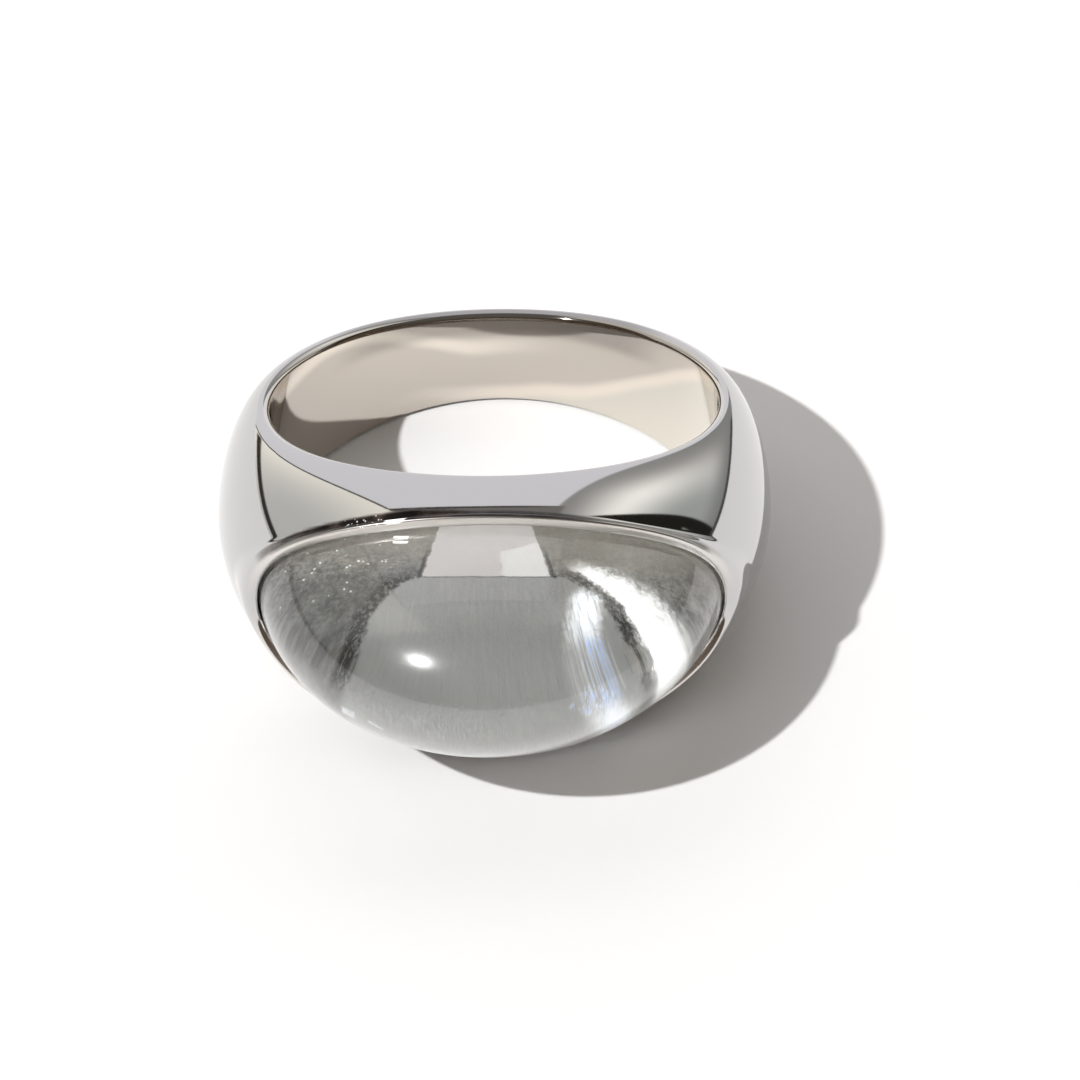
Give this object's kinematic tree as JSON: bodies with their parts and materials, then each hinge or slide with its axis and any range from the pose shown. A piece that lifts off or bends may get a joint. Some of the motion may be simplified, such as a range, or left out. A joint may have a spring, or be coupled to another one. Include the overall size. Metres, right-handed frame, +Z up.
{
  "type": "dome ring",
  "caption": "Polished metal finger ring, lying on its side, whose band swells into a domed head with a tall clear oval cabochon in a raised lip.",
  "frame": {"origin": "middle of the foot of the box around the ring as it lies on its side", "axes": "+Z up from the table, -Y towards the head and its stone, +X to the right seen from the head"},
  "size_m": [0.0212, 0.027, 0.0109],
  "materials": {
    "polished_silver": "mirror polished",
    "clear_crystal": "polished"
  },
  "bodies": {
    "root": {"band": "polished_silver", "stone": "clear_crystal"}
  },
  "joints": []
}
